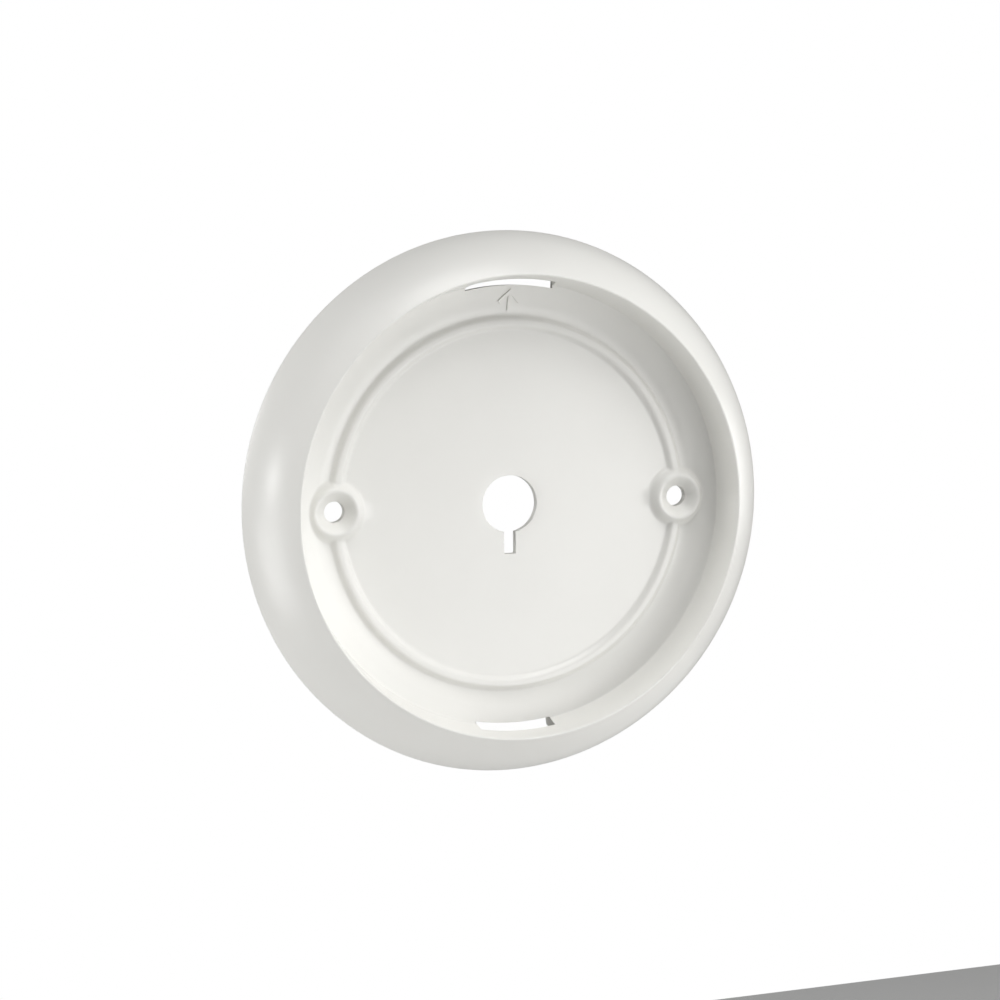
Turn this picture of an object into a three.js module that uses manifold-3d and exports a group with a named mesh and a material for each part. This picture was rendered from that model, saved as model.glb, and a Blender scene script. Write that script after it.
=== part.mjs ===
// Round mounting base for a smoke detector: one white plastic moulding that is screwed to the wall.
// It is a shallow dish with a domed skirt around it, open at the back, so its walls stay thin.
// It stands on the skirt's rim and on a pad behind each screw; the dish's floor stays clear of the wall.
//
// The piece is designed lying on its back, with +Z towards the room and +Y towards its top,
// and is then stood up against the wall: the wall is the plane Y = 0 and the room is at -Y.
import * as THREE from "three";
import { mergeVertices } from "three/addons/utils/BufferGeometryUtils.js";
import Module from "manifold-3d";

// ---- driving dimensions, in millimetres; heights are measured from the wall ----
const OUTER_RADIUS = 54;
const DEPTH = 12;
const FLOOR_HEIGHT = 2;
const FLOOR_THICKNESS = 1.5;
const WALL_THICKNESS = 1.8;

// the dish: a flat floor, a round bead, a shallow cone with a hollow foot and a steep wall up to the mouth
const BEAD_RADIUS = 35.9;
const BEAD_HALF_WIDTH = 1.5;
const BEAD_HEIGHT = 0.8;
const CONE_START_RADIUS = 37.4;
const CONE_FOOT_WIDTH = 3;
const SHOULDER_RADIUS = 44;
const SHOULDER_HEIGHT = 4.2;
const MOUTH_RADIUS = 45.3;
const MOUTH_EDGE_RADIUS = 0.35;

// the domed skirt outside the mouth
const SKIRT_CURVE_RADIUS = 22.7;
const RIM_LAND = 0.5;

// holes
const CABLE_HOLE_RADIUS = 5.6;
const KEY_SLOT_WIDTH = 2.4;
const KEY_SLOT_END = 10;
const SCREW_SPACING = 72.1;
const SCREW_HOLE_RADIUS = 2.07;
const SCREW_HOLE_TOP = 1.75;
const COUNTERSINK_SLOPE = 1;

// screw bosses, with a pad behind each that reaches the wall
const BOSS_FOOT_RADIUS = 6;
const BOSS_CREST_RADIUS = 4.7;
const BOSS_CREST_CHAMFER = 0.2;
const BOSS_HEIGHT = 3.7;
const BOSS_PAD_RADIUS = 5.4;

// snap windows in the corner between the cone and the wall; the upper one is wider, so that the
// detector fits only one way up
const WINDOW_INNER_RADIUS = 43.35;
const WINDOW_HEIGHT = 7.6;
const TOP_WINDOW_HALF_WIDTH = 8.9;
const BOTTOM_WINDOW_HALF_WIDTH = 7.9;
const WINDOW_SHIFT = -0.6;

// the channel behind the skirt, closed towards the room by a thick lip around the mouth
const LIP_THICKNESS = 4;
const CHANNEL_CORNER = 0.5;

// thin ribs in that channel; their back edge slants from the skirt down to the dish
const RIB_COUNT = 8;
const RIB_THICKNESS = 1.2;
const RIB_SETBACK_AT_SKIRT = 1.5;
const RIB_SETBACK_AT_DISH = 3;
const RIB_TOP_RADIUS = 47.4;

// raised arrow that points to the top: a stem and two barbs
const ARROW_RAISE = 0.25;
const ARROW_STROKE = 0.7;
const ARROW_TIP = 42.6;
const ARROW_FOOT = 38.3;
const ARROW_HEAD = 2.4;

// how finely round surfaces are divided
const RING_SEGMENTS = 84;
const BOSS_SEGMENTS = 32;
const SKIRT_STEPS = 6;
const BEAD_STEPS = 5;
const CONE_STEPS = 3;
const MOUTH_EDGE_STEPS = 2;
const WINDOW_STEPS = 6;

const CUT_MARGIN = 3;      // how far a cutter runs past the faces that it cuts

const wasm = await Module();
wasm.setup();

// ---- from three.js geometry to a solid that can be joined and cut, and back ----
function solidOf(geometry) {
  const bare = geometry.clone();
  bare.deleteAttribute("normal");
  bare.deleteAttribute("uv");
  const merged = mergeVertices(bare, 1e-5);
  const index = merged.index.array;
  const triangles = [];
  for (let i = 0; i < index.length; i += 3) {
    const [a, b, c] = [index[i], index[i + 1], index[i + 2]];
    if (a !== b && b !== c && c !== a) triangles.push(a, b, c);
  }
  return new wasm.Manifold(new wasm.Mesh({
    numProp: 3,
    vertProperties: new Float32Array(merged.attributes.position.array),
    triVerts: new Uint32Array(triangles),
  }));
}

function geometryOf(solid) {
  const mesh = solid.getMesh();
  const geometry = new THREE.BufferGeometry();
  geometry.setAttribute("position", new THREE.BufferAttribute(new Float32Array(mesh.vertProperties), 3));
  geometry.setIndex(new THREE.BufferAttribute(new Uint32Array(mesh.triVerts), 1));
  geometry.computeVertexNormals();
  return geometry;
}

// ---- outlines: a point is (radius, height) ----
const point = (radius, height) => new THREE.Vector2(radius, height);

// points along a round arc, both ends included; angles in radians from the +radius direction
function arc(centre, radius, from, to, steps) {
  return Array.from({ length: steps + 1 }, (_, i) => {
    const angle = from + (to - from) * i / steps;
    return point(centre.x + radius * Math.cos(angle), centre.y + radius * Math.sin(angle));
  });
}

// centre of the arc of the given radius that bulges to the left when walking from end a to end b
function arcCentre(a, b, radius) {
  const chord = b.clone().sub(a);
  const reach = Math.sqrt(radius ** 2 - chord.lengthSq() / 4);
  const inward = point(chord.y, -chord.x).normalize();
  return a.clone().add(b).multiplyScalar(0.5).addScaledVector(inward, reach);
}

const angleFrom = (centre, p) => Math.atan2(p.y - centre.y, p.x - centre.x);

// the round solid of a closed outline, turned about +Z; the outline may run either way round
function turned(outline, segments) {
  const loop = outline.concat([outline[0].clone()]);
  if (THREE.ShapeUtils.area(outline) < 0) loop.reverse();
  return solidOf(new THREE.LatheGeometry(loop, segments).rotateX(Math.PI / 2));
}

// the solid of a flat outline, from one height to another
function raised(outline, bottom, top) {
  const shape = new THREE.Shape(outline);
  const geometry = new THREE.ExtrudeGeometry(shape, { depth: top - bottom, bevelEnabled: false });
  return solidOf(geometry.translate(0, 0, bottom));
}

// ---- the shell: dish, mouth and skirt in one outline ----
const mouthTop = point(MOUTH_RADIUS + MOUTH_EDGE_RADIUS, DEPTH);
const rimTop = point(OUTER_RADIUS, RIM_LAND);
const skirtCentre = arcCentre(mouthTop, rimTop, SKIRT_CURVE_RADIUS);

function wallRadius(height) {
  const slope = (MOUTH_RADIUS - SHOULDER_RADIUS) / (DEPTH - SHOULDER_HEIGHT);
  return SHOULDER_RADIUS + slope * (height - SHOULDER_HEIGHT);
}

// the cone's slope grows from nothing over the width of its foot, and then stays the same
const coneSlope = (SHOULDER_HEIGHT - FLOOR_HEIGHT)
  / (SHOULDER_RADIUS - CONE_START_RADIUS - CONE_FOOT_WIDTH / 2);

function coneHeight(radius) {
  const run = Math.max(radius - CONE_START_RADIUS, 0);
  const rise = run < CONE_FOOT_WIDTH ? run ** 2 / (2 * CONE_FOOT_WIDTH) : run - CONE_FOOT_WIDTH / 2;
  return FLOOR_HEIGHT + coneSlope * rise;
}

function coneOutline() {
  const foot = Array.from({ length: CONE_STEPS }, (_, i) => {
    const radius = CONE_START_RADIUS + CONE_FOOT_WIDTH * (i + 1) / CONE_STEPS;
    return point(radius, coneHeight(radius));
  });
  return [...foot, point(SHOULDER_RADIUS, SHOULDER_HEIGHT)];
}

function beadOutline() {
  const radius = (BEAD_HALF_WIDTH ** 2 + BEAD_HEIGHT ** 2) / (2 * BEAD_HEIGHT);
  const centre = point(BEAD_RADIUS, FLOOR_HEIGHT + BEAD_HEIGHT - radius);
  const half = Math.asin(BEAD_HALF_WIDTH / radius);
  return arc(centre, radius, Math.PI / 2 + half, Math.PI / 2 - half, BEAD_STEPS);
}

function mouthOutline() {
  const centre = point(mouthTop.x, DEPTH - MOUTH_EDGE_RADIUS);
  return arc(centre, MOUTH_EDGE_RADIUS, Math.PI, Math.PI / 2, MOUTH_EDGE_STEPS);
}

function skirtOutline(offset, lowest) {
  const radius = SKIRT_CURVE_RADIUS - offset;
  const end = Math.asin((lowest - skirtCentre.y) / radius);
  const start = angleFrom(skirtCentre, mouthTop);
  return arc(skirtCentre, radius, start, end, SKIRT_STEPS);
}

// the channel is the hollow between the back of the dish's wall and the inside of the skirt
const channelTop = DEPTH - LIP_THICKNESS;
const backOfWall = (height) => wallRadius(height) + WALL_THICKNESS;
const backOfCone = (radius) => coneHeight(radius) - WALL_THICKNESS;

function channelOutline() {
  const inside = skirtOutline(WALL_THICKNESS, 0).reverse().filter((p) => p.y < channelTop - CHANNEL_CORNER);
  const dishBack = backOfCone(SHOULDER_RADIUS);
  const dishEdge = backOfWall(dishBack);
  return [
    ...inside,
    point(backOfWall(channelTop) + CHANNEL_CORNER, channelTop),
    point(backOfWall(channelTop), channelTop - CHANNEL_CORNER),
    point(dishEdge, dishBack + CHANNEL_CORNER),
    point(dishEdge - CHANNEL_CORNER, dishBack),
  ];
}

function shell() {
  const floorBack = FLOOR_HEIGHT - FLOOR_THICKNESS;
  const coneBackFoot = SHOULDER_RADIUS - (SHOULDER_HEIGHT - WALL_THICKNESS - floorBack) / coneSlope;
  const outline = [
    point(CABLE_HOLE_RADIUS, floorBack),
    point(CABLE_HOLE_RADIUS, FLOOR_HEIGHT),
    ...beadOutline(),
    ...coneOutline(),
    ...mouthOutline(),
    ...skirtOutline(0, RIM_LAND).slice(1),
    point(OUTER_RADIUS, 0),
    ...channelOutline(),
    point(coneBackFoot, floorBack),
  ];
  return turned(outline, RING_SEGMENTS);
}

// ---- screw bosses ----
function boss() {
  return turned([
    point(0, 0),
    point(BOSS_PAD_RADIUS, 0),
    point(BOSS_PAD_RADIUS, FLOOR_HEIGHT),
    point(BOSS_FOOT_RADIUS, FLOOR_HEIGHT),
    point(BOSS_CREST_RADIUS + BOSS_CREST_CHAMFER, BOSS_HEIGHT - BOSS_CREST_CHAMFER),
    point(BOSS_CREST_RADIUS - BOSS_CREST_CHAMFER, BOSS_HEIGHT),
    point(0, BOSS_HEIGHT),
  ], BOSS_SEGMENTS);
}

function screwHole() {
  const top = BOSS_HEIGHT + CUT_MARGIN;
  return turned([
    point(0, -CUT_MARGIN),
    point(SCREW_HOLE_RADIUS, -CUT_MARGIN),
    point(SCREW_HOLE_RADIUS, SCREW_HOLE_TOP),
    point(SCREW_HOLE_RADIUS + (top - SCREW_HOLE_TOP) / COUNTERSINK_SLOPE, top),
    point(0, top),
  ], BOSS_SEGMENTS);
}

// ---- key slot that opens downwards from the cable hole ----
function keySlot() {
  const half = KEY_SLOT_WIDTH / 2;
  return raised([
    point(-half, -KEY_SLOT_END), point(half, -KEY_SLOT_END), point(half, 0), point(-half, 0),
  ], -CUT_MARGIN, FLOOR_HEIGHT + CUT_MARGIN);
}

// ---- snap window: its inner side follows the ring, its outer side lies in the channel ----
function snapWindow(side) {
  const halfWidth = side > 0 ? TOP_WINDOW_HALF_WIDTH : BOTTOM_WINDOW_HALF_WIDTH;
  const outer = wallRadius(WINDOW_HEIGHT) + WALL_THICKNESS + CHANNEL_CORNER;
  const from = Math.acos((WINDOW_SHIFT + halfWidth) / WINDOW_INNER_RADIUS);
  const to = Math.acos((WINDOW_SHIFT - halfWidth) / WINDOW_INNER_RADIUS);
  const inner = arc(point(0, 0), WINDOW_INNER_RADIUS, from, to, WINDOW_STEPS);
  const right = inner[0].x;
  const left = inner[inner.length - 1].x;
  const outline = [...inner, point(left, outer), point(right, outer)];
  const placed = outline.map((p) => point(p.x, side * p.y));
  return raised(side > 0 ? placed.reverse() : placed, -CUT_MARGIN, WINDOW_HEIGHT);
}

// ---- ribs that tie the skirt to the dish ----
function rib(angle) {
  const half = RIB_THICKNESS / 2;
  const inner = SHOULDER_RADIUS + WALL_THICKNESS / 2;
  const outer = OUTER_RADIUS - WALL_THICKNESS;
  const blade = new THREE.Shape([
    point(inner, RIB_SETBACK_AT_DISH),
    point(outer, RIB_SETBACK_AT_SKIRT),
    point(RIB_TOP_RADIUS, channelTop),
    point(inner, channelTop),
  ]);
  const geometry = new THREE.ExtrudeGeometry(blade, { depth: RIB_THICKNESS, bevelEnabled: false });
  return solidOf(geometry.translate(0, 0, -half).rotateX(Math.PI / 2).rotateZ(angle));
}

// ---- arrow, raised by the same amount everywhere above the cone ----
// a straight stroke from one point of the plan to another, as a tall bar
function stroke(start, end) {
  const across = point(start.y - end.y, end.x - start.x).setLength(ARROW_STROKE / 2);
  const outline = [
    start.clone().sub(across), end.clone().sub(across), end.clone().add(across), start.clone().add(across),
  ];
  return raised(outline, 0, DEPTH);
}

function arrow() {
  const tip = point(0, ARROW_TIP);
  const barbs = [-1, 1].map((side) => stroke(point(side * ARROW_HEAD, ARROW_TIP - ARROW_HEAD), tip));
  const bars = stroke(point(0, ARROW_FOOT), tip).add(barbs[0]).add(barbs[1]);
  const skin = turned([
    ...coneOutline().map((p) => point(p.x, p.y - ARROW_RAISE)).reverse(),
    ...coneOutline().map((p) => point(p.x, p.y + ARROW_RAISE)),
  ], RING_SEGMENTS);
  return bars.intersect(skin);
}

// ---- the whole moulding ----
function mountingBase() {
  let base = shell();
  for (let i = 0; i < RIB_COUNT; i += 1) {
    base = base.add(rib((i + 0.5) * 2 * Math.PI / RIB_COUNT));
  }
  const sides = [-1, 1];
  for (const side of sides) base = base.add(boss().translate([side * SCREW_SPACING / 2, 0, 0]));
  for (const side of sides) base = base.subtract(screwHole().translate([side * SCREW_SPACING / 2, 0, 0]));
  for (const side of sides) base = base.subtract(snapWindow(side));
  return base.subtract(keySlot()).add(arrow());
}

const plastic = new THREE.MeshStandardMaterial({ color: 0xe9e9e4, roughness: 0.45, metalness: 0 });
const base = new THREE.Mesh(geometryOf(mountingBase()), plastic);
base.name = "mounting_base";
base.rotation.x = Math.PI / 2;

const model = new THREE.Group();
model.name = "detector_mounting_base";
model.add(base);

export default model;
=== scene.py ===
"""Looks of a smoke detector's wall mounting base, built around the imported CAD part.

The CAD solid gives the scale and the place. This script builds the same moulding again as one fine
mesh with rounded edges, gives it a satin white plastic, and adds soft boxes, a pale floor and a camera.
"""
import math

import bpy
import numpy as np
from mathutils import Matrix, Vector


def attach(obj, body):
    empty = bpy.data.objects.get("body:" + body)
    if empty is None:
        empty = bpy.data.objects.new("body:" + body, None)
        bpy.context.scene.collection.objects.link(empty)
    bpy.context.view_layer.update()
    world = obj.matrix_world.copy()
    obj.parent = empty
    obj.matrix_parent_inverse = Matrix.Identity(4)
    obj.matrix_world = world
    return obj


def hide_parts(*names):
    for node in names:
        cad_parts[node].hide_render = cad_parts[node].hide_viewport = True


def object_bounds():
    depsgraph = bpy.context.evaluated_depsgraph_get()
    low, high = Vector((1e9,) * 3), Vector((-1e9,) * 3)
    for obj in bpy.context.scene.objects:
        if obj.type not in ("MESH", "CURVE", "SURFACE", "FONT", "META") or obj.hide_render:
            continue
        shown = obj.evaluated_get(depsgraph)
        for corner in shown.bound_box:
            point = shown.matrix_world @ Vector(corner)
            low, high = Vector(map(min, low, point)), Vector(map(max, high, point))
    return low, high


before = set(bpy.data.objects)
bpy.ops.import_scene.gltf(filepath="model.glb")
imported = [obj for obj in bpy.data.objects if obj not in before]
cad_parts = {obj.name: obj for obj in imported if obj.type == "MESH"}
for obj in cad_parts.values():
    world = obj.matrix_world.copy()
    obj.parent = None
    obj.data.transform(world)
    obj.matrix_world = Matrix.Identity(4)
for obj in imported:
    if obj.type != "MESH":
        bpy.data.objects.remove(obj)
cad_low, cad_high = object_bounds()

# ---- sizes in millimetres; heights are measured from the wall ----
OUTER_RADIUS = 54.0
DEPTH = 12.0
FLOOR = 2.0              # height of the floor's front
FLOOR_BACK = 0.5         # height of its back, which stands off the wall
WALL = 1.8               # thickness behind the cone, the dish's wall and the skirt

BEAD_RADIUS = 35.95
BEAD_HALF_WIDTH = 1.45
BEAD_HEIGHT = 0.85
BEAD_FLANK = 0.8         # width of each steep flank
BEAD_TOP_BLEND = 0.35
BEAD_FOOT_BLEND = 0.25
CONE_START = 37.4
CONE_BLEND = 3.0
SHOULDER_RADIUS = 44.0
SHOULDER_HEIGHT = 4.2
SHOULDER_ROUND = 0.4
MOUTH_RADIUS = 45.3
MOUTH_EDGE = 0.35
RIDGE_ROUND = 0.3

SKIRT_CURVE_RADIUS = 22.7
RIM_LAND = 0.5
RIM_ROUND = 0.15
RIM_CHAMFER = (0.1, 0.3) # width and height, along the rim's inner edge
LIP = 4.0                # thickness at the ridge, in front of the channel behind the skirt
CHANNEL_ROUND = 0.3
CHANNEL_CORNER = 0.7     # how far below the lip the curve inside the skirt ends
BACK_CORNER_ROUND = 0.5  # behind the shoulder
BACK_ROUND = 2.0         # where the floor's back meets the cone's

CABLE_HOLE_RADIUS = 5.7
CABLE_HOLE_ROUND = 0.1
KEY_SLOT_WIDTH = 2.35
KEY_SLOT_END = 10.0
KEY_SLOT_ROUND = 0.3
SCREW_SPACING = 72.1
SCREW_HOLE_RADIUS = 2.07
SCREW_HOLE_TOP = 1.75
COUNTERSINK_SLOPE = 1.0
BOSS_HEIGHT = 3.7
BOSS_CREST_RADIUS = 4.7
BOSS_FOOT_RADIUS = 5.95
BOSS_INNER_BLEND = 0.4
BOSS_OUTER_BLEND = 0.7
BOSS_FOOT_BLEND = 0.6
PAD_RADIUS = 5.4         # the pads behind the bosses, which touch the wall
PAD_TOP = 1.6            # inside the floor's thickness

WINDOW_HEIGHT = 7.6
WINDOW_RELIEF = 0.5      # how far the windows run past the back of the dish's wall
# each snap window: its side of the dish, inner radius, left end, right end, and the draft of its ends
WINDOWS = [
    (1, 43.35, -9.0, 7.95, 0.17),
    (-1, 43.65, -8.3, 7.3, 0.0),
]

RIB_COUNT = 8
RIB_THICKNESS = 1.2
RIB_SETBACK_AT_SKIRT = 1.5
RIB_SETBACK_AT_DISH = 3.0
RIB_TOP_RADIUS = 47.4
RIB_OVERLAP = (0.3, 0.2) # how far the ribs run into the lip, outwards and forwards

ARROW_RAISE = 0.25
ARROW_STROKE = 0.7
ARROW_TIP = 42.6
ARROW_FOOT = 38.3
ARROW_HEAD = 2.4
ARROW_MARGIN = 1         # how far the layer that the arrow is cut from runs past it
ARROW_TIP_MARGIN = 0.6

EJECTOR_MARK_RADIUS = 2.5
EJECTOR_MARK_DEPTH = 0.12
EJECTOR_MARK_RING = 26.0
EJECTOR_MARK_COUNT = 4

# how finely the moulding is divided
FLAT_STEP = 4.0          # between the rings of the flat floor
FINE_START = 30.0        # the rings are close together from here to the shoulder
FINE_STEP = 0.2
BEND_GUARD = 0.3         # from the bend at the floor's back to the next ring, which keeps its shading narrow
BOSS_SPREAD = 12         # degrees to each side of a screw boss where the spokes are close together
FINE_TURN = 0.3
COARSE_TURN = 1.0
CIRCLE_SIDES = 96
CIRCLE_START = 0.3       # turns the circles by part of a step, so that no corner lies on a spoke
SHARP_ANGLE = 35         # degrees; steeper edges are shaded as sharp ones

CUT_MARGIN = 3.0         # how far a cutter runs past the faces that it cuts
EDGE_CHAMFER = 0.08

# ---- white plastic: colours, and noises by the number of their features in a metre ----
PLASTIC_DULL = (0.845, 0.838, 0.803, 1)
PLASTIC_BRIGHT = (0.885, 0.879, 0.845, 1)
CLOUD_SCALE = 60.0
ROUGHNESS = (0.285, 0.36)
GLOSS_SCALE = 400.0
GRAIN_SCALE = 900.0
GRAIN_DEPTH = 2e-6       # in metres
RIPPLE_SCALE = 160.0
RIPPLE_DEPTH = 1e-5      # in metres

# ---- camera: angles in degrees, distance and offset in millimetres, lens in millimetres ----
CAMERA_YAW = 19.705
CAMERA_PITCH = 6.332
CAMERA_ROLL = -0.4706
CAMERA_DISTANCE = 481.71
CAMERA_OFFSET = (1.928, -0.767)
CAMERA_LENS = 87.39

# ---- soft boxes: name, azimuth, elevation, size in metres, power in watts ----
LAMP_DISTANCE = 0.8      # in metres
LAMPS = [
    ("key", 40, 0, 0.3, 1.15),
    ("key_low", 25, -15, 0.3, 1.3),
    ("right", 60, 0, 0.3, 1.1),
    ("right_high", 60, 35, 0.3, 0.4),
    ("right_side", 90, 0, 0.3, 1.0),
    ("top", 0, 65, 0.4, 2.6),
    ("top_right", 30, 50, 0.3, 0.8),
    ("top_left", -50, 53, 0.6, 0.9),
    ("left_low", -92, -20, 0.4, 2.5),
    ("left_spot", -88, 5, 0.08, 1.1),
    ("low", -15, -17, 0.3, 0.3),
    ("back", -140, 10, 0.3, 1.2),
]
BACKDROP = 1.0           # brightness of the white background that the camera sees, which gives no light
# the floor, in metres; its far end still shows in the lower right corner of the camera's picture
STAGE_LEVEL = -0.25
STAGE_SIZE = 0.8
STAGE_COLOUR = (0.85, 0.85, 0.84, 1)
STAGE_ROUGHNESS = 0.7

METRES = cad_high.x / OUTER_RADIUS       # metres in the row frame for one of the lengths above


# ---- small helpers ----
def smooth_max(a, b, blend):
    """The larger of a and b, with a round transition where they differ by less than blend."""
    near = np.maximum(blend - np.abs(a - b), 0) / blend
    return np.maximum(a, b) + near * near * blend / 4


def smooth_min(a, b, blend):
    """The smaller of a and b, in the same way."""
    return -smooth_max(-a, -b, blend)


def arc(centre, radius, start, end, steps):
    """Points on a round arc, both ends included; angles in radians from the +radius direction."""
    angles = np.linspace(start, end, steps + 1)
    return [(centre[0] + radius * math.cos(a), centre[1] + radius * math.sin(a)) for a in angles]


def rounded(before, corner, after, radius, steps=6):
    """The arc that rounds the corner between two straight stretches."""
    p = np.array(corner)
    u = np.array(before) - p
    v = np.array(after) - p
    u /= np.linalg.norm(u)
    v /= np.linalg.norm(v)
    half = math.acos(np.clip(u @ v, -1, 1)) / 2
    centre = p + (u + v) / np.linalg.norm(u + v) * radius / math.sin(half)
    a = p + u * radius / math.tan(half) - centre
    b = p + v * radius / math.tan(half) - centre
    start = math.atan2(a[1], a[0])
    turn = math.atan2(a[0] * b[1] - a[1] * b[0], a @ b)
    return arc(centre, radius, start, start + turn, steps)


# ---- the surfaces of the moulding, as heights over the plan ----
CONE_SLOPE = (SHOULDER_HEIGHT - FLOOR) / (SHOULDER_RADIUS - CONE_START - CONE_BLEND / 2)


def dish_height(radius):
    """Height of the floor, the bead and the cone."""
    flank = (BEAD_HALF_WIDTH - np.abs(radius - BEAD_RADIUS)) * BEAD_HEIGHT / BEAD_FLANK
    bead = smooth_max(smooth_min(flank, BEAD_HEIGHT, BEAD_TOP_BLEND), 0, BEAD_FOOT_BLEND)
    run = np.maximum(radius - CONE_START, 0)
    cone = np.where(run < CONE_BLEND, run ** 2 / (2 * CONE_BLEND), run - CONE_BLEND / 2) * CONE_SLOPE
    return FLOOR + bead + cone


def boss_height(distance):
    """Height of a screw boss and its countersink, at a distance from the screw's axis."""
    flank = (BOSS_HEIGHT - FLOOR) / (BOSS_FOOT_RADIUS - BOSS_CREST_RADIUS)
    inside = SCREW_HOLE_TOP + COUNTERSINK_SLOPE * (distance - SCREW_HOLE_RADIUS)
    outside = BOSS_HEIGHT - flank * (distance - BOSS_CREST_RADIUS)
    return smooth_min(smooth_min(inside, BOSS_HEIGHT, BOSS_INNER_BLEND), outside, BOSS_OUTER_BLEND)


def front_height(x, y):
    """Height of the dish's front with the two bosses and their screw holes."""
    distance = np.hypot(np.abs(x) - SCREW_SPACING / 2, y)
    boss = boss_height(distance)
    dish = smooth_max(dish_height(np.hypot(x, y)), boss, BOSS_FOOT_BLEND)
    countersink = np.maximum(boss, SCREW_HOLE_TOP / 2)
    return np.where(distance < BOSS_CREST_RADIUS - BOSS_OUTER_BLEND, countersink, dish)


# ---- meshes ----
def in_row_frame(points):
    """Points given as x, y towards the top and height from the wall, in metres of the row frame."""
    p = np.asarray(points, dtype=float).reshape(-1, 3)
    return np.stack([p[:, 0], -p[:, 2], p[:, 1]], axis=1) * METRES


def mesh_object(name, points, faces):
    """A mesh in the scene, from points as in_row_frame takes them."""
    mesh = bpy.data.meshes.new(name)
    mesh.from_pydata(in_row_frame(points).tolist(), [], faces)
    mesh.update()
    piece = bpy.data.objects.new(name, mesh)
    bpy.context.scene.collection.objects.link(piece)
    return piece


def prism(outline, bottom, top, flare=0.0):
    """Points and faces of an upright bar over an outline; a flare at its top cuts a chamfer at 45 degrees."""
    plan = np.array(outline, dtype=float)
    if signed_area(plan) < 0:
        plan = plan[::-1]
    levels = [(plan, bottom), (plan, top)]
    if flare:
        levels.append((grown(plan, flare), top + flare))
        levels.append((grown(plan, 2 * flare), top + 2 * flare))
    return loft(levels)


def loft(levels):
    """Points and faces of a solid through outlines of equal length, each with its height, lowest first."""
    count = len(levels[0][0])
    points = [(x, y, height) for level, height in levels for x, y in level]
    faces = [list(range(count))[::-1], list(range(len(points) - count, len(points)))]
    for k in range(len(levels) - 1):
        for i in range(count):
            j = (i + 1) % count
            faces.append([k * count + i, k * count + j, (k + 1) * count + j, (k + 1) * count + i])
    return points, faces


def signed_area(plan):
    """Area of an outline, positive if it runs counterclockwise."""
    x, y = plan[:, 0], plan[:, 1]
    return 0.5 * float(np.sum(x * np.roll(y, -1) - y * np.roll(x, -1)))


def grown(plan, distance):
    """A counterclockwise outline moved outwards by a distance."""
    before = plan - np.roll(plan, 1, axis=0)
    after = np.roll(plan, -1, axis=0) - plan
    normals = []
    for edge in (before, after):
        unit = edge / np.linalg.norm(edge, axis=1, keepdims=True)
        normals.append(np.stack([unit[:, 1], -unit[:, 0]], axis=1))
    middle = normals[0] + normals[1]
    middle /= np.sum(middle * middle, axis=1, keepdims=True) / 2
    return plan + middle * distance


def joined(name, parts):
    """One object from several separate sets of points and faces."""
    points, faces = [], []
    for part_points, part_faces in parts:
        start = len(points)
        points += list(part_points)
        faces += [[start + i for i in face] for face in part_faces]
    return mesh_object(name, points, faces)


def combined(piece, tool, operation):
    """Joins, cuts or intersects a piece with a tool, and removes the tool."""
    modifier = piece.modifiers.new(operation.lower(), 'BOOLEAN')
    modifier.operation = operation
    modifier.solver = 'MANIFOLD'
    modifier.object = tool
    depsgraph = bpy.context.evaluated_depsgraph_get()
    result = bpy.data.meshes.new_from_object(piece.evaluated_get(depsgraph))
    piece.modifiers.clear()
    old = piece.data
    piece.data = result
    bpy.data.meshes.remove(old)
    tool_mesh = tool.data
    bpy.data.objects.remove(tool)
    bpy.data.meshes.remove(tool_mesh)
    return piece


# ---- the section of the moulding, in stretches of (radius, height) ----
def wall_radius(height):
    """Radius of the dish's wall, which widens evenly from the shoulder to the mouth."""
    rise = (height - SHOULDER_HEIGHT) / (DEPTH - SHOULDER_HEIGHT)
    return SHOULDER_RADIUS + (MOUTH_RADIUS - SHOULDER_RADIUS) * rise


def skirt_centre():
    """Centre of the skirt's curve, which runs from the mouth's edge to the rim."""
    start = np.array([MOUTH_RADIUS + MOUTH_EDGE, DEPTH])
    end = np.array([OUTER_RADIUS, RIM_LAND])
    chord = end - start
    reach = math.sqrt(SKIRT_CURVE_RADIUS ** 2 - chord @ chord / 4)
    inward = np.array([chord[1], -chord[0]]) / np.linalg.norm(chord)
    return (start + end) / 2 + inward * reach


SKIRT_CENTRE = skirt_centre()


def skirt_angle(radius, height):
    """Angle at which an arc about the skirt's centre reaches a height."""
    return math.asin((height - SKIRT_CENTRE[1]) / radius)


def ridge():
    """The rounded ridge where the dish's wall meets the skirt, tangent to both."""
    foot = np.array([SHOULDER_RADIUS, SHOULDER_HEIGHT])
    along = np.array([wall_radius(DEPTH) - wall_radius(SHOULDER_HEIGHT), DEPTH - SHOULDER_HEIGHT])
    along /= np.linalg.norm(along)
    normal = np.array([along[1], -along[0]])
    base = foot + normal * RIDGE_ROUND - SKIRT_CENTRE
    reach = SKIRT_CURVE_RADIUS - RIDGE_ROUND
    run = -base @ along + math.sqrt((base @ along) ** 2 - base @ base + reach ** 2)
    centre = SKIRT_CENTRE + base + along * run
    outward = centre - SKIRT_CENTRE
    start = math.atan2(-normal[1], -normal[0])
    end = math.atan2(outward[1], outward[0])
    return arc(centre, RIDGE_ROUND, start % (2 * math.pi), end, 10), end


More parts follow.
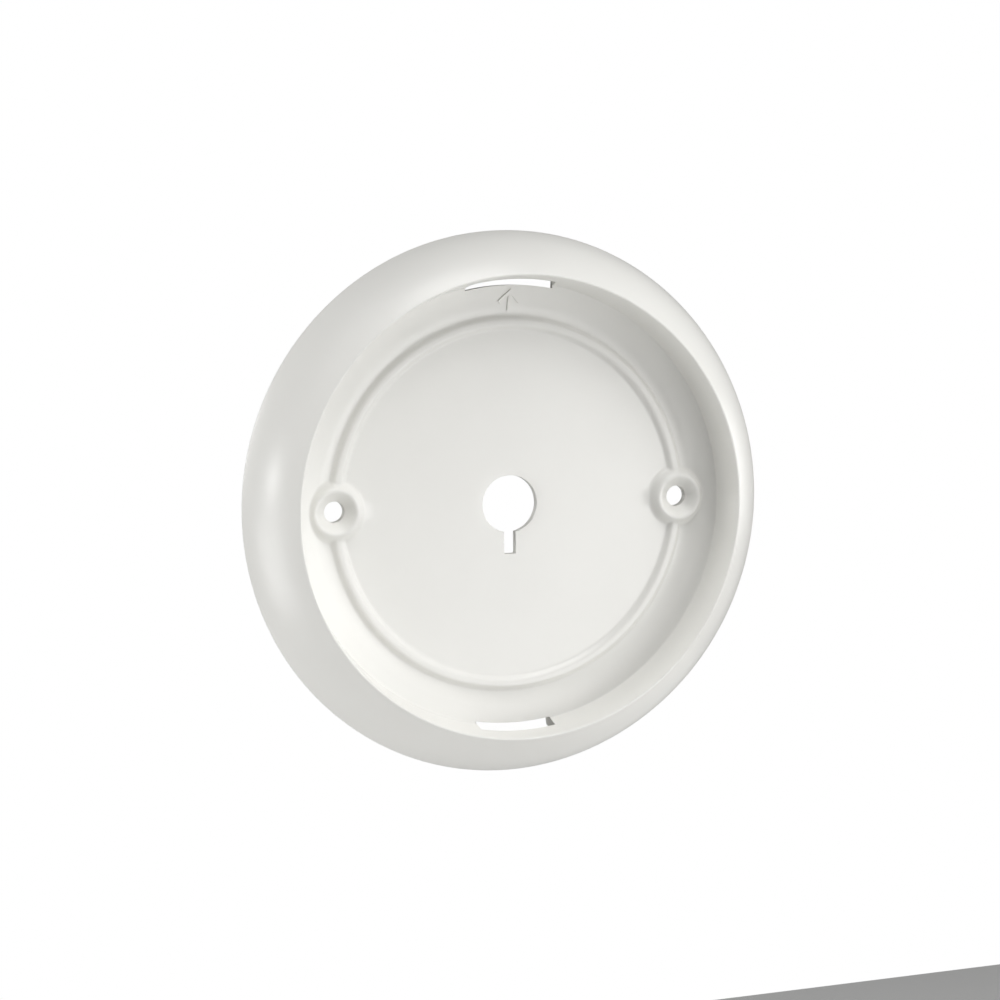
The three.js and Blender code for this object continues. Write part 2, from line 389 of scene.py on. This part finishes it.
def section():
    """The closed section, as arrays of radius and height, and a mask of the points on the dish's front."""
    cone_end = (SHOULDER_RADIUS - 1, dish_height(np.array(SHOULDER_RADIUS - 1.0)))
    shoulder = rounded(cone_end, (SHOULDER_RADIUS, SHOULDER_HEIGHT), (MOUTH_RADIUS, DEPTH), SHOULDER_ROUND)
    ridge_points, ridge_end = ridge()
    wall = [(wall_radius(h), h) for h in np.linspace(SHOULDER_HEIGHT, DEPTH, 12)[2:-2]]
    hole_edge = (CABLE_HOLE_RADIUS, FLOOR)
    hole = rounded((CABLE_HOLE_RADIUS, FLOOR_BACK), hole_edge, (BEAD_RADIUS, FLOOR), CABLE_HOLE_ROUND)
    flat = np.arange(2 * FLAT_STEP, FINE_START, FLAT_STEP)
    fine = np.arange(FINE_START, shoulder[0][0] - FINE_STEP / 2, FINE_STEP)
    front = [(r, FLOOR) for r in np.concatenate([flat, fine])]

    skirt_end = skirt_angle(SKIRT_CURVE_RADIUS, RIM_LAND)
    skirt = arc(SKIRT_CENTRE, SKIRT_CURVE_RADIUS, ridge_end, skirt_end, 28)[1:-1]
    land = (OUTER_RADIUS, RIM_LAND)
    rim = rounded((OUTER_RADIUS - 0.1, 2 * RIM_LAND), land, (OUTER_RADIUS, 0), RIM_ROUND, 3)
    rim += rounded(land, (OUTER_RADIUS, 0), (0, 0), RIM_ROUND, 4)
    inner_radius = SKIRT_CURVE_RADIUS - WALL
    top = DEPTH - LIP
    edge = SKIRT_CENTRE[0] + inner_radius * math.cos(skirt_angle(inner_radius, 0))
    inner_ends = [skirt_angle(inner_radius, height) for height in (RIM_CHAMFER[1], top - CHANNEL_CORNER)]
    inner = arc(SKIRT_CENTRE, inner_radius, *inner_ends, 18)
    roof = SKIRT_CENTRE[0] + inner_radius * math.cos(skirt_angle(inner_radius, top))
    wall_back = wall_radius(top) + WALL
    under = rounded(inner[-1], (roof, top), (wall_back, top), CHANNEL_ROUND, 4)
    under += rounded((roof, top), (wall_back, top), (wall_radius(FLOOR) + WALL, FLOOR), CHANNEL_ROUND, 4)
    dish_back = SHOULDER_HEIGHT - WALL
    corner = (wall_radius(dish_back) + WALL, dish_back)
    back_foot = SHOULDER_RADIUS - (SHOULDER_HEIGHT - WALL - FLOOR_BACK) / CONE_SLOPE
    turn = rounded((wall_back, top), corner, (back_foot, FLOOR_BACK), BACK_CORNER_ROUND, 6)
    bend = rounded(turn[-1], (back_foot, FLOOR_BACK), (0, FLOOR_BACK), BACK_ROUND, 6)
    start, end = np.array(turn[-1]), np.array(bend[0])
    back = [tuple(start + (end - start) * part) for part in (0.1, 0.9)] + bend
    back.append((bend[-1][0] - BEND_GUARD, FLOOR_BACK))
    back += [(r, FLOOR_BACK) for r in np.arange(FINE_START, CABLE_HOLE_RADIUS + 1, -FLAT_STEP)]
    rest = ridge_points + skirt + rim + [(edge + RIM_CHAMFER[0], 0)] + inner + under + turn + back
    stretches = [
        (hole[:-1], False), ([hole[-1]] + front, True), (shoulder + wall + rest, False),
        ([(CABLE_HOLE_RADIUS, FLOOR_BACK)], False),
    ]
    outline = np.array([p for points, _ in stretches for p in points])
    in_front = np.array([kind for points, kind in stretches for _ in points])
    return outline[:, 0], outline[:, 1], in_front


def ring_angles():
    """Angles of the grid's spokes, close together at the two screw bosses."""
    quarter = np.concatenate([np.arange(0, BOSS_SPREAD, FINE_TURN), np.arange(BOSS_SPREAD, 90, COARSE_TURN)])
    half = np.unique(np.concatenate([quarter, 180 - quarter[:0:-1], [90.0]]))
    return np.radians(np.concatenate([half, half + 180]))


def turned_moulding():
    """The section turned about the dish's axis, with the two bosses and their screw holes on its front."""
    radius, height, in_front = section()
    angles = ring_angles()
    x = np.outer(np.cos(angles), radius)
    y = np.outer(np.sin(angles), radius)
    h = np.broadcast_to(height, x.shape).copy()
    h[:, in_front] = front_height(x[:, in_front], y[:, in_front])
    points = np.stack([x, y, h], axis=-1).reshape(-1, 3)
    count, rings = x.shape
    faces = []
    for i in range(count):
        for k in range(rings):
            a, b = i * rings, ((i + 1) % count) * rings
            m = (k + 1) % rings
            faces.append((a + k, b + k, b + m, a + m))
    return mesh_object("moulding", points, faces)


# ---- cutters and added pieces ----
def circle(x, y, radius, sides=CIRCLE_SIDES):
    """Outline of a round bar, counterclockwise."""
    turns = (np.arange(sides) + CIRCLE_START) * 2 * math.pi / sides
    return np.stack([x + radius * np.cos(turns), y + radius * np.sin(turns)], axis=1)


def pads():
    """A round pad behind each screw boss, with a chamfer at the wall."""
    return [loft([
        (circle(x, 0, PAD_RADIUS - EDGE_CHAMFER), 0),
        (circle(x, 0, PAD_RADIUS), EDGE_CHAMFER),
        (circle(x, 0, PAD_RADIUS), PAD_TOP),
    ]) for x in (-SCREW_SPACING / 2, SCREW_SPACING / 2)]


def snap_window(side, radius, left, right, draft):
    """Cutter for a snap window: its inner side follows the ring, and its ends widen towards the wall."""
    outer = wall_radius(WINDOW_HEIGHT) + WALL + WINDOW_RELIEF
    levels = []
    for height in (WINDOW_HEIGHT, -CUT_MARGIN):
        spread = draft * (WINDOW_HEIGHT - height)
        start, end = math.acos((right + spread) / radius), math.acos((left - spread) / radius)
        inner = arc((0, 0), radius, start, end, 40)
        outline = inner + [(inner[-1][0], outer), (inner[0][0], outer)]
        levels.append((np.array([(x, side * y) for x, y in outline])[::-side], height))
    return loft(levels[::-1])


def cutters():
    """Bars that cut the key slot, the screw holes, the windows and the ejector marks."""
    half = KEY_SLOT_WIDTH / 2
    corner = KEY_SLOT_ROUND
    middle = (-half + corner, -KEY_SLOT_END + corner)
    slot = arc(middle, corner, math.pi, 1.5 * math.pi, 5)
    slot += [(-x, y) for x, y in slot[::-1]]
    slot += [(half, -CABLE_HOLE_RADIUS / 2), (-half, -CABLE_HOLE_RADIUS / 2)]
    parts = [prism(slot, -CUT_MARGIN, FLOOR - EDGE_CHAMFER, EDGE_CHAMFER)]
    for side in (-1, 1):
        parts.append(prism(circle(side * SCREW_SPACING / 2, 0, SCREW_HOLE_RADIUS), -CUT_MARGIN, DEPTH))
    parts += [snap_window(*window) for window in WINDOWS]
    for turn in range(EJECTOR_MARK_COUNT):
        angle = (turn + 0.5) * 2 * math.pi / EJECTOR_MARK_COUNT
        centre = (EJECTOR_MARK_RING * math.cos(angle), EJECTOR_MARK_RING * math.sin(angle))
        mark = circle(*centre, EJECTOR_MARK_RADIUS, 64)
        parts.append(prism(mark, -CUT_MARGIN, FLOOR_BACK + EJECTOR_MARK_DEPTH))
    return [mesh_object("cutter", *part) for part in parts]


def rib(angle):
    """A thin blade in the channel, between the back of the dish's wall and the skirt."""
    inner = SHOULDER_RADIUS + WALL / 2
    outer = OUTER_RADIUS - WALL
    top = DEPTH - LIP + RIB_OVERLAP[1]
    blade = [
        (inner, RIB_SETBACK_AT_DISH), (outer, RIB_SETBACK_AT_SKIRT),
        (RIB_TOP_RADIUS + RIB_OVERLAP[0], top), (inner, top),
    ]
    along = np.array([math.cos(angle), math.sin(angle)])
    across = np.array([-along[1], along[0]]) * RIB_THICKNESS / 2
    points = []
    for side in (-1, 1):
        for radius, height in blade:
            points.append((*(along * radius + side * across), height))
    faces = [[0, 1, 2, 3], [7, 6, 5, 4]]
    faces += [[(i + 1) % 4, i, i + 4, (i + 1) % 4 + 4] for i in range(4)]
    return points, faces


def arrow_outline():
    """Plan of an upright arrow: a stem and two barbs at right angles, all of the same stroke width."""
    half = ARROW_STROKE / 2
    slant = ARROW_STROKE / math.sqrt(2)
    right = [
        (0, ARROW_TIP), (ARROW_HEAD, ARROW_TIP - ARROW_HEAD),
        (ARROW_HEAD - slant, ARROW_TIP - ARROW_HEAD - slant),
        (half, ARROW_TIP - 2 * slant - half), (half, ARROW_FOOT),
    ]
    left = [(-x, y) for x, y in right[:0:-1]]
    return right + left


def arrow():
    """The arrow, raised by the same amount everywhere above the cone."""
    skin_x = np.linspace(-ARROW_HEAD - ARROW_MARGIN, ARROW_HEAD + ARROW_MARGIN, 30)
    skin_y = np.linspace(ARROW_FOOT - ARROW_MARGIN, ARROW_TIP + ARROW_TIP_MARGIN, 40)
    x, y = np.meshgrid(skin_x, skin_y, indexing="ij")
    ground = dish_height(np.hypot(x, y))
    rows, columns = x.shape
    layers = [np.stack([x, y, ground + lift], axis=-1).reshape(-1, 3) for lift in (-ARROW_RAISE, ARROW_RAISE)]
    faces = []
    for i in range(rows - 1):
        for k in range(columns - 1):
            a = i * columns + k
            quad = [a, a + columns, a + columns + 1, a + 1]
            faces.append(quad[::-1])
            faces.append([c + rows * columns for c in quad])
    border = [i * columns for i in range(rows)]
    border += [(rows - 1) * columns + k for k in range(1, columns)]
    border += [i * columns + columns - 1 for i in range(rows - 2, -1, -1)]
    border += list(range(columns - 2, 0, -1))
    for a, b in zip(border, border[1:] + border[:1]):
        faces.append([a, b, b + rows * columns, a + rows * columns])
    skin = mesh_object("arrow", np.concatenate(layers).tolist(), faces)
    return combined(skin, mesh_object("arrow_plan", *prism(arrow_outline(), 0, DEPTH)), 'INTERSECT')


def moulding():
    """The whole moulding as one closed mesh."""
    piece = turned_moulding()
    ribs = joined("ribs", [rib((i + 0.5) * 2 * math.pi / RIB_COUNT) for i in range(RIB_COUNT)])
    combined(piece, ribs, 'UNION')
    combined(piece, joined("pads", pads()), 'UNION')
    for cutter in cutters():
        combined(piece, cutter, 'DIFFERENCE')
    combined(piece, arrow(), 'UNION')
    piece.data.materials.clear()
    piece.data.shade_smooth()
    piece.data.set_sharp_from_angle(angle=math.radians(SHARP_ANGLE))
    return piece


# ---- material ----
def white_plastic():
    """Satin white plastic with faint clouding of its colour and gloss, a fine grain and a long ripple."""
    material = bpy.data.materials.new("satin_white_plastic")
    material.use_nodes = True
    nodes = material.node_tree.nodes
    links = material.node_tree.links
    shader = nodes["Principled BSDF"]
    place = nodes.new("ShaderNodeTexCoord")

    def noise(scale, detail):
        """A noise with about this many features in a metre."""
        texture = nodes.new("ShaderNodeTexNoise")
        texture.inputs["Scale"].default_value = scale
        texture.inputs["Detail"].default_value = detail
        links.new(place.outputs["Object"], texture.inputs["Vector"])
        return texture.outputs["Fac"]

    clouds = nodes.new("ShaderNodeValToRGB")
    clouds.color_ramp.elements[0].position = 0.0
    clouds.color_ramp.elements[0].color = PLASTIC_DULL
    clouds.color_ramp.elements[1].position = 1.0
    clouds.color_ramp.elements[1].color = PLASTIC_BRIGHT
    links.new(noise(CLOUD_SCALE, 3), clouds.inputs["Fac"])
    links.new(clouds.outputs["Color"], shader.inputs["Base Color"])

    gloss = nodes.new("ShaderNodeMapRange")
    gloss.inputs["To Min"].default_value = ROUGHNESS[0]
    gloss.inputs["To Max"].default_value = ROUGHNESS[1]
    links.new(noise(GLOSS_SCALE, 2), gloss.inputs["Value"])
    links.new(gloss.outputs["Result"], shader.inputs["Roughness"])

    grain = nodes.new("ShaderNodeBump")
    grain.inputs["Strength"].default_value = 1.0
    grain.inputs["Distance"].default_value = GRAIN_DEPTH
    links.new(noise(GRAIN_SCALE, 1), grain.inputs["Height"])
    ripple = nodes.new("ShaderNodeBump")
    ripple.inputs["Strength"].default_value = 1.0
    ripple.inputs["Distance"].default_value = RIPPLE_DEPTH
    links.new(noise(RIPPLE_SCALE, 1), ripple.inputs["Height"])
    links.new(grain.outputs["Normal"], ripple.inputs["Normal"])
    links.new(ripple.outputs["Normal"], shader.inputs["Normal"])
    return material


piece = moulding()
piece.data.materials.append(white_plastic())
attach(piece, "root")
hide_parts("mounting_base")


# ---- camera ----
def camera():
    """The camera, turned and rolled about the middle of the floor's front, which lies off its axis."""
    data = bpy.data.cameras.new("camera")
    data.sensor_width = 36
    data.lens = CAMERA_LENS
    data.clip_start = 0.01
    thing = bpy.data.objects.new("camera", data)
    bpy.context.scene.collection.objects.link(thing)
    yaw, pitch, roll = (math.radians(a) for a in (CAMERA_YAW, CAMERA_PITCH, CAMERA_ROLL))
    ahead = Vector((math.sin(yaw) * math.cos(pitch), math.cos(yaw) * math.cos(pitch), -math.sin(pitch)))
    right = Vector((math.cos(yaw), -math.sin(yaw), 0))
    up = right.cross(ahead)
    right, up = right * math.cos(roll) + up * math.sin(roll), up * math.cos(roll) - right * math.sin(roll)
    centre = Vector((0, -FLOOR * METRES, 0))
    place = centre - (right * CAMERA_OFFSET[0] + up * CAMERA_OFFSET[1] + ahead * CAMERA_DISTANCE) * METRES
    thing.matrix_world = Matrix((
        (right.x, up.x, -ahead.x, place.x),
        (right.y, up.y, -ahead.y, place.y),
        (right.z, up.z, -ahead.z, place.z),
        (0, 0, 0, 1),
    ))
    bpy.context.scene.camera = thing


# ---- studio ----
def lamp(name, azimuth, elevation, size, power):
    """A square soft box that faces the object; azimuth 0 is straight in front, positive to the right."""
    a, e = math.radians(azimuth), math.radians(elevation)
    direction = Vector((math.sin(a) * math.cos(e), -math.cos(a) * math.cos(e), math.sin(e)))
    light = bpy.data.lights.new(name, 'AREA')
    light.size = size
    light.energy = power
    thing = bpy.data.objects.new(name, light)
    thing.location = direction * LAMP_DISTANCE
    thing.rotation_euler = direction.to_track_quat('Z', 'Y').to_euler()
    bpy.context.scene.collection.objects.link(thing)


def floor():
    """A plain pale floor below the object."""
    half = STAGE_SIZE / 2
    points = [(x, y, STAGE_LEVEL) for x, y in ((-half, -half), (half, -half), (half, half), (-half, half))]
    mesh = bpy.data.meshes.new("floor")
    mesh.from_pydata(points, [], [(0, 1, 2, 3)])
    thing = bpy.data.objects.new("floor", mesh)
    bpy.context.scene.collection.objects.link(thing)
    material = bpy.data.materials.new("floor")
    material.use_nodes = True
    shader = material.node_tree.nodes["Principled BSDF"]
    shader.inputs["Base Color"].default_value = STAGE_COLOUR
    shader.inputs["Roughness"].default_value = STAGE_ROUGHNESS
    mesh.materials.append(material)


def studio():
    """The soft boxes, and a white background that only the camera sees."""
    for settings in LAMPS:
        lamp(*settings)
    world = bpy.data.worlds.new("studio")
    bpy.context.scene.world = world
    world.use_nodes = True
    nodes = world.node_tree.nodes
    links = world.node_tree.links
    dark = nodes["Background"]
    dark.inputs["Strength"].default_value = 0
    seen = nodes.new("ShaderNodeBackground")
    seen.inputs["Color"].default_value = (1, 1, 1, 1)
    seen.inputs["Strength"].default_value = BACKDROP
    path = nodes.new("ShaderNodeLightPath")
    mix = nodes.new("ShaderNodeMixShader")
    links.new(path.outputs["Is Camera Ray"], mix.inputs["Fac"])
    links.new(dark.outputs["Background"], mix.inputs[1])
    links.new(seen.outputs["Background"], mix.inputs[2])
    links.new(mix.outputs["Shader"], nodes["World Output"].inputs["Surface"])
    bpy.context.scene.view_settings.view_transform = 'Standard'


camera()
floor()
studio()
